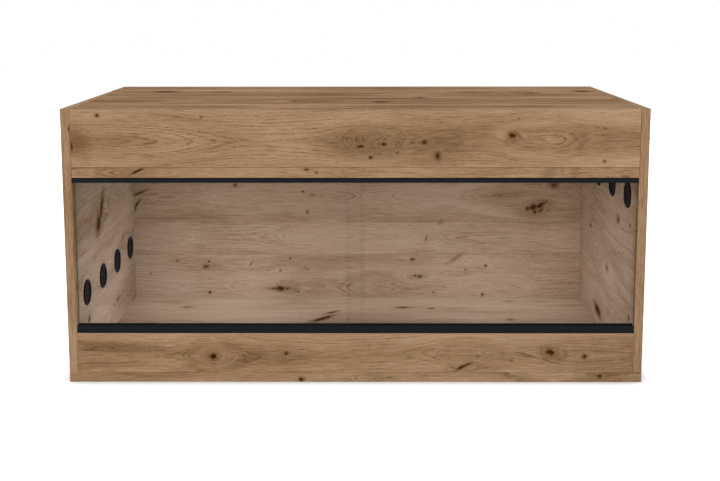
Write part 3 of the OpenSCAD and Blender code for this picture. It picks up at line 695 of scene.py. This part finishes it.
def wandering_grain(tree, seeded, across, calm):
    """Where across the board the grain comes from: it wanders over 300 mm and ripples over 80 mm."""
    for length, width, sway in ((300, 90, 20.0), (80, 22, 3.4)):
        noise = stretched_noise(tree, seeded, (1 / length, 1 / width, 1), 1.0)
        noise = add_node(tree, "ShaderNodeMath", {0: noise, 1: 0.5}, operation="SUBTRACT")
        swayed = {0: noise, 1: sway * calm, 2: across}
        across = add_node(tree, "ShaderNodeMath", swayed, operation="MULTIPLY_ADD")
    return across


def knotted_grain(tree, figure, seeded, place, knot_tree):
    """Where the grain comes from once every knot has pushed it, and how dark the knots' bark is."""
    # the bark's outline is ragged over 5 mm
    ragged = add_node(tree, "ShaderNodeTexNoise", {"Vector": seeded, "Scale": 1 / 5, "Detail": 1.0})
    ragged = add_node(tree, "ShaderNodeMapRange", {0: ragged, 1: 0.25, 2: 0.75, 3: -0.32, 4: 0.32})
    mark = 0.0
    for along, across, long, wide, tilt, darkness, swell_long, swell_wide in figure["knots"]:
        inputs = {
            "Place": place,
            "Mark": mark,
            "Ragged": ragged,
            "Centre": (along, across, 0),
            "Half Size": (long, wide, ALL_THE_WAY),
            "Tilt": (0, 0, math.radians(tilt)),
            "Swelling": (swell_long, swell_wide, ALL_THE_WAY),
            "Darkness": darkness,
        }
        knot = add_node(tree, "ShaderNodeGroup", inputs, node_tree=knot_tree)
        place, mark = knot.outputs["Place"], knot.outputs["Mark"]
    return add_node(tree, "ShaderNodeSeparateXYZ", {0: place}).outputs["Z"], mark


def heart_depth(tree, figure, seeded, along):
    """How deep in mm the heart lies: a smooth curve through the figure's points, or a noise 190 mm long."""
    if "depth" not in figure:
        depth = stretched_noise(tree, seeded, (1 / 190, 0, 1), 1.0)
        return add_node(tree, "ShaderNodeMapRange", {0: depth, 1: 0.3, 2: 0.65, 3: 2.0, 4: 38.0})
    low, high = figure["depth"][0][0], figure["depth"][-1][0]
    share = add_node(tree, "ShaderNodeMapRange", {0: along, 1: low, 2: high})
    curve = add_node(tree, "ShaderNodeFloatCurve", {"Value": share})
    points = curve.mapping.curves[0].points
    points[0].location = (0.0, figure["depth"][0][1] / DEEPEST)
    points[1].location = (1.0, figure["depth"][-1][1] / DEEPEST)
    for place, depth in figure["depth"][1:-1]:
        points.new((place - low) / (high - low), depth / DEEPEST)
    curve.mapping.update()
    return add_node(tree, "ShaderNodeMath", {0: curve, 1: DEEPEST}, operation="MULTIPLY")


def oak_print(tree, figure, groups):
    """Colour, tone and embossed relief of one printed face, from its figure."""
    along, across = grain_place(tree, figure)
    plank, heart, joint_and_shade_line = plank_layout(tree, figure, across)
    shift = {0: plank, 1: PLANK_SHIFT, 2: along}
    shifted = add_node(tree, "ShaderNodeMath", shift, operation="MULTIPLY_ADD")
    seeded = add_node(tree, "ShaderNodeCombineXYZ", {0: shifted, 1: across, 2: figure["seed"]})
    moved = wandering_grain(tree, seeded, across, figure["calm"])
    place = add_node(tree, "ShaderNodeCombineXYZ", {0: along, 1: across, 2: moved})
    moved, mark = knotted_grain(tree, figure, seeded, place, groups["knot"])
    lot = add_node(tree, "ShaderNodeMath", {0: plank, 1: figure["seed"]}, operation="ADD")
    chance = add_node(tree, "ShaderNodeTexWhiteNoise", {"W": lot}, noise_dimensions="1D")
    dark, light = figure["tone"] - figure["vary"], figure["tone"] + figure["vary"]
    tone = add_node(tree, "ShaderNodeMapRange", {0: chance, 3: dark, 4: light})
    # the lines between planks are drawn darker, and on edging that dark line is painted shade where the strip
    # meets the next part
    tone = add_node(tree, "ShaderNodeMath", {0: joint_and_shade_line, 1: -0.3, 2: tone}, operation="MULTIPLY_ADD")
    inputs = {
        "Along": shifted,
        "Across": moved,
        "Heart": heart,
        "Depth": heart_depth(tree, figure, seeded, along),
        "Seed": figure["seed"],
        "Tone": tone,
        "Contrast": figure["contrast"],
        "Paling": figure["paling"],
        "Mark": mark,
    }
    wood = add_node(tree, "ShaderNodeGroup", inputs, node_tree=groups["oak"])
    # the press plate embosses straight pores over the print: 14 mm long, 0.2 mm wide, drawn 1 mm wide
    plate = add_node(tree, "ShaderNodeCombineXYZ", {0: along, 1: across})
    relief = stretched_noise(tree, plate, (1 / 14, 1 / 1.0, 0), 1.0, noise_dimensions="2D")
    return wood.outputs["Color"], wood.outputs["Tone"], relief


def film_sheen(tree, tone, roughness):
    """Roughness of the resin film, which is a little duller over dark wood than over pale."""
    dull, bright = roughness + 0.05, roughness - 0.05
    return add_node(tree, "ShaderNodeMapRange", {0: tone, 1: -0.4, 2: 0.4, 3: dull, 4: bright})


def film_surface(tree, colour, roughness, relief, strength):
    """Ends a material in printed film: almost no gloss, over a relief 0.2 mm deep."""
    bump = {"Strength": strength, "Distance": 0.2 / MM, "Height": relief}
    inputs = {
        "Base Color": colour,
        "Roughness": roughness,
        "Normal": add_node(tree, "ShaderNodeBump", bump),
        "Specular IOR Level": 0.015,
    }
    film = add_node(tree, "ShaderNodeBsdfPrincipled", inputs)
    add_node(tree, "ShaderNodeOutputMaterial", {"Surface": film})


def oak_board(name, figure, groups, oak):
    """Melamine-faced chipboard: paper printed as knotty oak under a satin resin film, on both faces.

    The film gives a low even sheen and a faint relief of pores. On edges without edging the pressed chips
    show, pale, coarse and dull.
    """
    material, tree = new_material("Oak_melamine_" + name)
    colour, tone, relief = oak_print(tree, figure, groups)
    through = (set(AXES) - set(figure["axes"])).pop()
    places = add_node(tree, "ShaderNodeTexCoord").outputs
    facing = add_node(tree, "ShaderNodeSeparateXYZ", {0: places["Normal"]}).outputs[through]
    facing = add_node(tree, "ShaderNodeMath", {0: facing}, operation="ABSOLUTE")
    printed = add_node(tree, "ShaderNodeMath", {0: facing, 1: 0.5}, operation="GREATER_THAN")
    # chips are 3.2 mm wide
    chips = add_node(tree, "ShaderNodeTexVoronoi", {"Vector": places["Object"], "Scale": MM / 3.2})
    tint = add_node(tree, "ShaderNodeSeparateColor", {0: chips.outputs["Color"]})
    chip = add_node(tree, "ShaderNodeMix", {0: tint, 6: oak.body, 7: oak.core}, data_type="RGBA").outputs[2]
    colour = add_node(tree, "ShaderNodeMix", {0: printed, 6: chip, 7: colour}, data_type="RGBA").outputs[2]
    heights = {0: printed, 2: chips.outputs["Distance"], 3: relief}
    relief = add_node(tree, "ShaderNodeMix", heights, data_type="FLOAT")
    gloss = {0: printed, 2: 0.85, 3: film_sheen(tree, tone, oak.roughness)}
    sheen = add_node(tree, "ShaderNodeMix", gloss, data_type="FLOAT")
    film_surface(tree, colour, sheen, relief, 0.12)
    return material


def oak_edging(name, figure, groups, oak):
    """ABS edging, 1 mm thick: a plastic strip printed as the boards are, with its corners scraped round.

    It has the same satin sheen, and where it meets the next part a dark line is drawn in its print, which is
    painted shade.
    """
    material, tree = new_material("Oak_edging_" + name)
    colour, tone, relief = oak_print(tree, figure, groups)
    film_surface(tree, colour, film_sheen(tree, tone, oak.roughness), relief, 0.1)
    return material


def door_glass(name, free_edge, inward, glass):
    """Float glass, 4 mm, with seamed edges: clear, with a grey-green cut edge.

    A face mirrors what the setting says straight on, and more towards a grazing angle, as Schlick's rule has
    it: (1 - cosine)^5 of the way to all. Real glass mirrors 4 % straight on, and the photo shows none of it.
    The free upright edge has a bevel, ground to a faint haze, whose two arrises show as fine dark lines.
    """
    material, tree = new_material("Float_glass_" + name)
    places = add_node(tree, "ShaderNodeTexCoord").outputs
    facing = add_node(tree, "ShaderNodeLayerWeight", {"Blend": 0.5}).outputs["Facing"]
    power = add_node(tree, "ShaderNodeMath", {0: facing, 1: 5.0}, operation="POWER")
    mirror = add_node(tree, "ShaderNodeMapRange", {0: power, 3: glass.mirror, 4: 1.0})
    along = add_node(tree, "ShaderNodeSeparateXYZ", {0: places["Object"]}).outputs["X"]
    from_edge = {0: along, 1: MM * inward, 2: -MM * inward * free_edge}
    inset = add_node(tree, "ShaderNodeMath", from_edge, operation="MULTIPLY_ADD")
    # middle and half width, in mm from the free edge, of its two arrises and the ground bevel between them;
    # an arris is 0.3 mm wide, and is drawn 0.9 mm wide so that it shows
    arris, shoulder, ground = (
        add_node(tree, "ShaderNodeMath", {0: inset, 1: middle, 2: half_width}, operation="COMPARE")
        for middle, half_width in ((0.4, 0.45), (4.6, 0.45), (2.5, 1.7))
    )
    lines = add_node(tree, "ShaderNodeMath", {0: arris, 1: shoulder}, operation="MAXIMUM")
    depth = add_node(tree, "ShaderNodeSeparateXYZ", {0: places["Normal"]}).outputs["Y"]
    depth = add_node(tree, "ShaderNodeMath", {0: depth}, operation="ABSOLUTE")
    cut = add_node(tree, "ShaderNodeMath", {0: depth, 1: 0.6}, operation="LESS_THAN")
    tints = {0: lines, 6: glass.tint, 7: linear("F1F4F2")}
    tint = add_node(tree, "ShaderNodeMix", tints, data_type="RGBA").outputs[2]
    through = add_node(tree, "ShaderNodeBsdfTransparent", {"Color": tint})
    shine = add_node(tree, "ShaderNodeBsdfAnisotropic", {"Color": WHITE, "Roughness": 0.0})
    pane = add_node(tree, "ShaderNodeMixShader", {0: mirror, 1: through, 2: shine})
    haze = add_node(tree, "ShaderNodeBsdfPrincipled", {"Base Color": linear("D9E2DC"), "Roughness": 0.4})
    share = add_node(tree, "ShaderNodeMath", {0: ground, 1: 0.006}, operation="MULTIPLY")
    pane = add_node(tree, "ShaderNodeMixShader", {0: share, 1: pane, 2: haze})
    # the wheel leaves a grit of 0.8 mm on the cut edge
    grit = add_node(tree, "ShaderNodeTexNoise", {"Vector": places["Object"], "Scale": MM / 0.8, "Detail": 2.0})
    dull = add_node(tree, "ShaderNodeMapRange", {0: grit, 1: NOISE_LOW, 2: NOISE_HIGH, 3: 0.22, 4: 0.38})
    cut_glass = {"Base Color": glass.edge, "Roughness": dull, "Specular IOR Level": 0.06}
    edge = add_node(tree, "ShaderNodeBsdfPrincipled", cut_glass)
    surface = add_node(tree, "ShaderNodeMixShader", {0: cut, 1: pane, 2: edge})
    add_node(tree, "ShaderNodeOutputMaterial", {"Surface": surface})
    return material


def mottled_surface(tree, pattern, colours, roughness, relief=0.0, others=None):
    """Ends a material whose colour and roughness each run between two values, as a pattern does.

    The relief is the strength of a bump 0.1 mm deep from the same pattern, and others holds the shader's other
    sockets.
    """
    colour = {0: pattern, 6: colours[0], 7: colours[1]}
    rough = {0: pattern, 1: NOISE_LOW, 2: NOISE_HIGH, 3: roughness[0], 4: roughness[1]}
    inputs = {
        "Base Color": add_node(tree, "ShaderNodeMix", colour, data_type="RGBA").outputs[2],
        "Roughness": add_node(tree, "ShaderNodeMapRange", rough),
    }
    if relief:
        bump = {"Strength": relief, "Distance": 0.1 / MM, "Height": pattern}
        inputs["Normal"] = add_node(tree, "ShaderNodeBump", bump)
    surface = add_node(tree, "ShaderNodeBsdfPrincipled", inputs | (others or {}))
    add_node(tree, "ShaderNodeOutputMaterial", {"Surface": surface})


def track_plastic(fittings):
    """Extruded rigid PVC, black: smooth and half dull, with the long faint lines that the die leaves."""
    material, tree = new_material("Extruded_black_PVC")
    place = add_node(tree, "ShaderNodeTexCoord").outputs["Object"]
    # die lines: 400 mm long; they are 0.1 mm apart, and are drawn 0.8 mm apart so that they show
    lines = stretched_noise(tree, place, (MM / 400, MM / 0.8, MM / 0.8), 1.0)
    shades = (fittings.track, linear("1B1E20"))
    mottled_surface(tree, lines, shades, (0.38, 0.52), 0.15, {"Specular IOR Level": 0.04})
    return material


def vent_plastic(fittings):
    """Injection-moulded ABS, black, from a spark-eroded mould: its even fine grit breaks up the highlights."""
    material, tree = new_material("Moulded_black_ABS")
    place = add_node(tree, "ShaderNodeTexCoord").outputs["Object"]
    # the mould's grit is 0.1 mm, and is drawn at 0.7 mm so that it shows
    grit = add_node(tree, "ShaderNodeTexNoise", {"Vector": place, "Scale": MM / 0.7, "Detail": 2.0})
    shades = (fittings.vent, linear("0E1418"))
    mottled_surface(tree, grit, shades, (0.36, 0.52), 0.25, {"Specular IOR Level": 0.14})
    return material


def zinc_steel(fittings):
    """Zinc-plated steel: bright grey metal with a slightly cloudy, brushed look from rolling and plating."""
    material, tree = new_material("Zinc_plated_steel")
    place = add_node(tree, "ShaderNodeTexCoord").outputs["Object"]
    # clouds are 2 mm wide
    cloud = add_node(tree, "ShaderNodeTexNoise", {"Vector": place, "Scale": MM / 2.0, "Detail": 3.0})
    mottled_surface(tree, cloud, (fittings.steel, linear("9AA0A6")), (0.24, 0.46), others={"Metallic": 1.0})
    return material


def cap_plastic(fittings):
    """Polypropylene screw caps in the oak's colour: plain, softly shiny, with a fine moulded grit."""
    material, tree = new_material("Moulded_oak_coloured_PP")
    place = add_node(tree, "ShaderNodeTexCoord").outputs["Object"]
    # the mould's grit is 0.1 mm, and is drawn at 0.9 mm so that it shows
    grit = add_node(tree, "ShaderNodeTexNoise", {"Vector": place, "Scale": MM / 0.9, "Detail": 2.0})
    mottled_surface(tree, grit, (fittings.cap, linear("8F6F4F")), (0.38, 0.5), 0.15)
    return material


def beech_dowel():
    """Planed beech: pale pinkish wood with short brown flecks along the grain, fluted and unfinished."""
    material, tree = new_material("Beech_dowel_wood")
    place = add_node(tree, "ShaderNodeTexCoord").outputs["Object"]
    # flecks are 0.5 mm wide and 4 mm long
    fleck = stretched_noise(tree, place, (MM / 0.5, MM / 0.5, MM / 4.0), 1.0)
    fleck = add_node(tree, "ShaderNodeMapRange", {0: fleck, 1: 0.55, 2: 0.68})
    browns = {0: fleck, 6: linear("CDA983"), 7: linear("9A6F4B")}
    wood = add_node(tree, "ShaderNodeMix", browns, data_type="RGBA").outputs[2]
    surface = add_node(tree, "ShaderNodeBsdfPrincipled", {"Base Color": wood, "Roughness": 0.7})
    add_node(tree, "ShaderNodeOutputMaterial", {"Surface": surface})
    return material


def foam_tape():
    """Acrylic foam tape, grey: dull, with tiny closed cells on its cut edge."""
    material, tree = new_material("Acrylic_foam_tape")
    place = add_node(tree, "ShaderNodeTexCoord").outputs["Object"]
    # cells are 0.4 mm wide
    cells = add_node(tree, "ShaderNodeTexVoronoi", {"Vector": place, "Scale": MM / 0.4})
    greys = {0: cells, 6: linear("3A3C3E"), 7: linear("5C5F62")}
    grey = add_node(tree, "ShaderNodeMix", greys, data_type="RGBA").outputs[2]
    surface = add_node(tree, "ShaderNodeBsdfPrincipled", {"Base Color": grey, "Roughness": 0.8})
    add_node(tree, "ShaderNodeOutputMaterial", {"Surface": surface})
    return material


class TERRARIUM_OT_boards(bpy.types.Operator):
    """Finish the boards and their edging in knotty oak decor"""

    bl_idname = "terrarium.boards"
    bl_label = "Boards and edging"

    def execute(self, context):
        oak = context.scene.terrarium.oak
        groups = {"knot": knot_group(), "oak": oak_group(oak)}
        for name, figure in FIGURES.items():
            make = oak_edging if "edge_band" in name else oak_board
            finish_nodes(make(name, USUAL | figure, groups, oak), name)
        return {"FINISHED"}


class TERRARIUM_OT_doors(bpy.types.Operator):
    """Finish the two sliding doors in clear float glass"""

    bl_idname = "terrarium.doors"
    bl_label = "Sliding doors"

    def execute(self, context):
        glass = context.scene.terrarium.glass
        low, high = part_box("left_door_glass")
        finish_nodes(door_glass("left_door", high[0], -1, glass), "left_door_glass")
        low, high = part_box("right_door_glass")
        finish_nodes(door_glass("right_door", low[0], 1, glass), "right_door_glass")
        return {"FINISHED"}


class TERRARIUM_OT_tracks(bpy.types.Operator):
    """Finish the upper and lower track and the tape that holds them"""

    bl_idname = "terrarium.tracks"
    bl_label = "Tracks"

    def execute(self, context):
        finish_nodes(track_plastic(context.scene.terrarium.fittings), "upper_track", "lower_track")
        finish_nodes(foam_tape(), "upper_track_tape", "lower_track_tape")
        return {"FINISHED"}


class TERRARIUM_OT_vents(bpy.types.Operator):
    """Finish the round vents in both side walls"""

    bl_idname = "terrarium.vents"
    bl_label = "Vents"

    def execute(self, context):
        names = sorted(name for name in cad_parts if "_vent_" in name)
        finish_nodes(vent_plastic(context.scene.terrarium.fittings), *names)
        return {"FINISHED"}


class TERRARIUM_OT_fasteners(bpy.types.Operator):
    """Finish the screws, their caps and the dowels"""

    bl_idname = "terrarium.fasteners"
    bl_label = "Screws, caps and dowels"

    def execute(self, context):
        fittings = context.scene.terrarium.fittings
        finish_nodes(zinc_steel(fittings), "side_screws", "bottom_screws")
        finish_nodes(cap_plastic(fittings), "cover_caps")
        finish_nodes(beech_dowel(), "wood_dowels")
        return {"FINISHED"}


def white_seen(tree):
    """1 for rays from the camera, from gloss and through glass, which see white all round, and 0 for light."""
    seen = add_node(tree, "ShaderNodeLightPath").outputs
    both = {0: seen["Is Camera Ray"], 1: seen["Is Glossy Ray"]}
    shown = add_node(tree, "ShaderNodeMath", both, operation="MAXIMUM")
    return add_node(tree, "ShaderNodeMath", {0: shown, 1: seen["Is Transmission Ray"]}, operation="MAXIMUM")


def white_world(scene, studio):
    """A world that is seen white and lights everything from all round."""
    scene.world = bpy.data.worlds.new("White_studio")
    scene.world.use_nodes = True
    tree = scene.world.node_tree
    tree.nodes.clear()
    strength = add_node(tree, "ShaderNodeMapRange", {0: white_seen(tree), 3: studio.sky, 4: 1.0})
    sky = add_node(tree, "ShaderNodeBackground", {"Color": WHITE, "Strength": strength})
    add_node(tree, "ShaderNodeOutputWorld", {"Surface": sky})


def floor_paper(studio):
    """White paper, uncoated: dull and even, and lifted to white where it is seen, apart from a soft shadow."""
    material, tree = new_material("White_floor_paper")
    # the lift is only seen and lights nothing, so no light is looked for there
    material.cycles.emission_sampling = "NONE"
    # it fades out where the cabinet stands on the paper, which leaves a soft narrow shadow
    near = add_node(tree, "ShaderNodeAmbientOcclusion", {"Distance": studio.shadow}).outputs["AO"]
    near = add_node(tree, "ShaderNodeMapRange", {0: near, 1: 0.5, 2: 1.0, 3: 0.15, 4: 1.0})
    glow = add_node(tree, "ShaderNodeMath", {0: white_seen(tree), 1: studio.glow}, operation="MULTIPLY")
    glow = add_node(tree, "ShaderNodeMath", {0: glow, 1: near}, operation="MULTIPLY")
    lit = add_node(tree, "ShaderNodeBsdfDiffuse", {"Color": studio.floor})
    lift = add_node(tree, "ShaderNodeEmission", {"Color": WHITE, "Strength": glow})
    paper = add_node(tree, "ShaderNodeAddShader", {0: lit, 1: lift})
    add_node(tree, "ShaderNodeOutputMaterial", {"Surface": paper})
    return material


def soft_lamp(name, place, aim, size, power, colour="FFFFFF", spread=180):
    """A rectangular lamp with a diffuser, turned towards aim; spread is the angle of its light in degrees."""
    data = bpy.data.lights.new(name, "AREA")
    data.shape = "RECTANGLE"
    data.size, data.size_y = size
    data.energy = power
    data.color = linear(colour)[:3]
    data.spread = math.radians(spread)
    lamp = bpy.data.objects.new(name, data)
    bpy.context.scene.collection.objects.link(lamp)
    lamp.location = place
    lamp.visible_camera = lamp.visible_glossy = False
    lamp.rotation_euler = (Vector(aim) - Vector(place)).to_track_quat("-Z", "Y").to_euler()


def outer_lamps(studio):
    """Large soft lamps round the cabinet; their places and sizes are in metres."""
    middle = (Vector(cad_box[0]) + Vector(cad_box[1])) / 2
    soft_lamp("Front_lamp", (-0.9, -4.2, 1.3), middle, (3.4, 2.4), studio.front)
    soft_lamp("Top_lamp", (0.0, -0.3, 3.0), middle, (3.0, 2.4), studio.top)
    # these stand beside and behind the cabinet, so they don't reach its front
    soft_lamp("Left_lamp", (-3.2, 0.7, 0.9), middle, (2.4, 1.6), studio.side)
    soft_lamp("Right_lamp", (3.2, 0.7, 0.9), middle, (2.4, 1.6), studio.side)
    soft_lamp("Rear_lamp", (0.0, 4.0, 1.1), middle, (3.0, 2.0), studio.rear)


def inner_lamps(studio):
    """Small cool lamps inside the cabinet: its inside is evenly lit, and cooler than its front.

    One strip lies over the back of the floor, and each half has a sheet behind the glass, a low strip and a
    lamp towards its wall, with x -1 on the left and 1 on the right.
    """
    cool, pale_blue, sky_blue = "ACCCF8", "BCD4F8", "C8E2FF"
    more_left = 0.16  # how much stronger the left wall's lamp is than the mean of the two
    soft_lamp("Back_lamp", (0.0, 0.19, 0.455), (0, 0.191, 0), (0.96, 0.06), studio.back, sky_blue, 52)
    for side, x in (("left", -1), ("right", 1)):
        place, aim = (0.29 * x, -0.232, 0.225), (0.29 * x, 0.2, 0.225)
        soft_lamp("Door_lamp_" + side, place, aim, (0.34, 0.22), studio.door / 2, cool)
        place, aim = (0.25 * x, -0.2, 0.08), (0.25 * x, 0.25, 0.05)
        soft_lamp("Low_lamp_" + side, place, aim, (0.4, 0.05), studio.low / 2, cool, 85)
        place, aim = (-0.1 * x, -0.06, 0.24), (0.48 * x, -0.04, 0.09)
        power = studio.wall * (1 - more_left * x)
        soft_lamp("Wall_lamp_" + side, place, aim, (0.3, 0.1), power, pale_blue, 72)


class TERRARIUM_OT_studio(bpy.types.Operator):
    """Set up the white studio, its soft light and the camera"""

    bl_idname = "terrarium.studio"
    bl_label = "Studio and camera"

    def execute(self, context):
        scene = context.scene
        studio = scene.terrarium.studio
        scene.view_settings.view_transform = "Standard"
        white_world(scene, studio)

        half = 9.0  # m
        corners = [(-half, -half, 0), (half, -half, 0), (half, half, 0), (-half, half, 0)]
        mesh = bpy.data.meshes.new("Floor")
        mesh.from_pydata(corners, [], [(0, 1, 2, 3)])
        mesh.materials.append(floor_paper(studio))
        floor = bpy.data.objects.new("Floor", mesh)
        scene.collection.objects.link(floor)

        outer_lamps(studio)
        inner_lamps(studio)

        camera = bpy.data.objects.new("Camera", bpy.data.cameras.new("Camera"))
        camera.data.sensor_width = 36
        camera.data.lens = CAMERA_LENS
        camera.data.shift_y = CAMERA_SHIFT
        camera.data.clip_end = 100
        turn = Euler([math.radians(angle) for angle in CAMERA_TURN])
        camera.matrix_world = Matrix.Translation(CAMERA_PLACE) @ turn.to_matrix().to_4x4()
        scene.collection.objects.link(camera)
        scene.camera = camera
        return {"FINISHED"}


OPERATORS = (
    TERRARIUM_OT_boards,
    TERRARIUM_OT_doors,
    TERRARIUM_OT_tracks,
    TERRARIUM_OT_vents,
    TERRARIUM_OT_fasteners,
    TERRARIUM_OT_studio,
)


class TERRARIUM_PT_panel(bpy.types.Panel):
    """Lists the steps that finish the cabinet"""

    bl_idname = "TERRARIUM_PT_panel"
    bl_label = "Terrarium Cabinet"
    bl_space_type = "VIEW_3D"
    bl_region_type = "UI"
    bl_category = "Cabinet"

    def draw(self, context):
        for group in ("oak", "glass", "fittings", "studio"):
            box = self.layout.box()
            box.label(text=group.capitalize())
            settings = getattr(context.scene.terrarium, group)
            for name in settings.__annotations__:
                box.prop(settings, name)
        for operator in OPERATORS:
            self.layout.operator(operator.bl_idname)


SETTINGS = (OakSettings, GlassSettings, FittingSettings, StudioSettings, TerrariumSettings)
CLASSES = SETTINGS + OPERATORS + (TERRARIUM_PT_panel,)


def register():
    for cls in CLASSES:
        bpy.utils.register_class(cls)
    bpy.types.Scene.terrarium = PointerProperty(type=TerrariumSettings)


def unregister():
    del bpy.types.Scene.terrarium
    for cls in reversed(CLASSES):
        bpy.utils.unregister_class(cls)


def main():
    """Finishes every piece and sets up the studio."""
    register()
    bpy.ops.terrarium.boards()
    bpy.ops.terrarium.doors()
    bpy.ops.terrarium.tracks()
    bpy.ops.terrarium.vents()
    bpy.ops.terrarium.fasteners()
    bpy.ops.terrarium.studio()


if __name__ == "__main__":
    main()
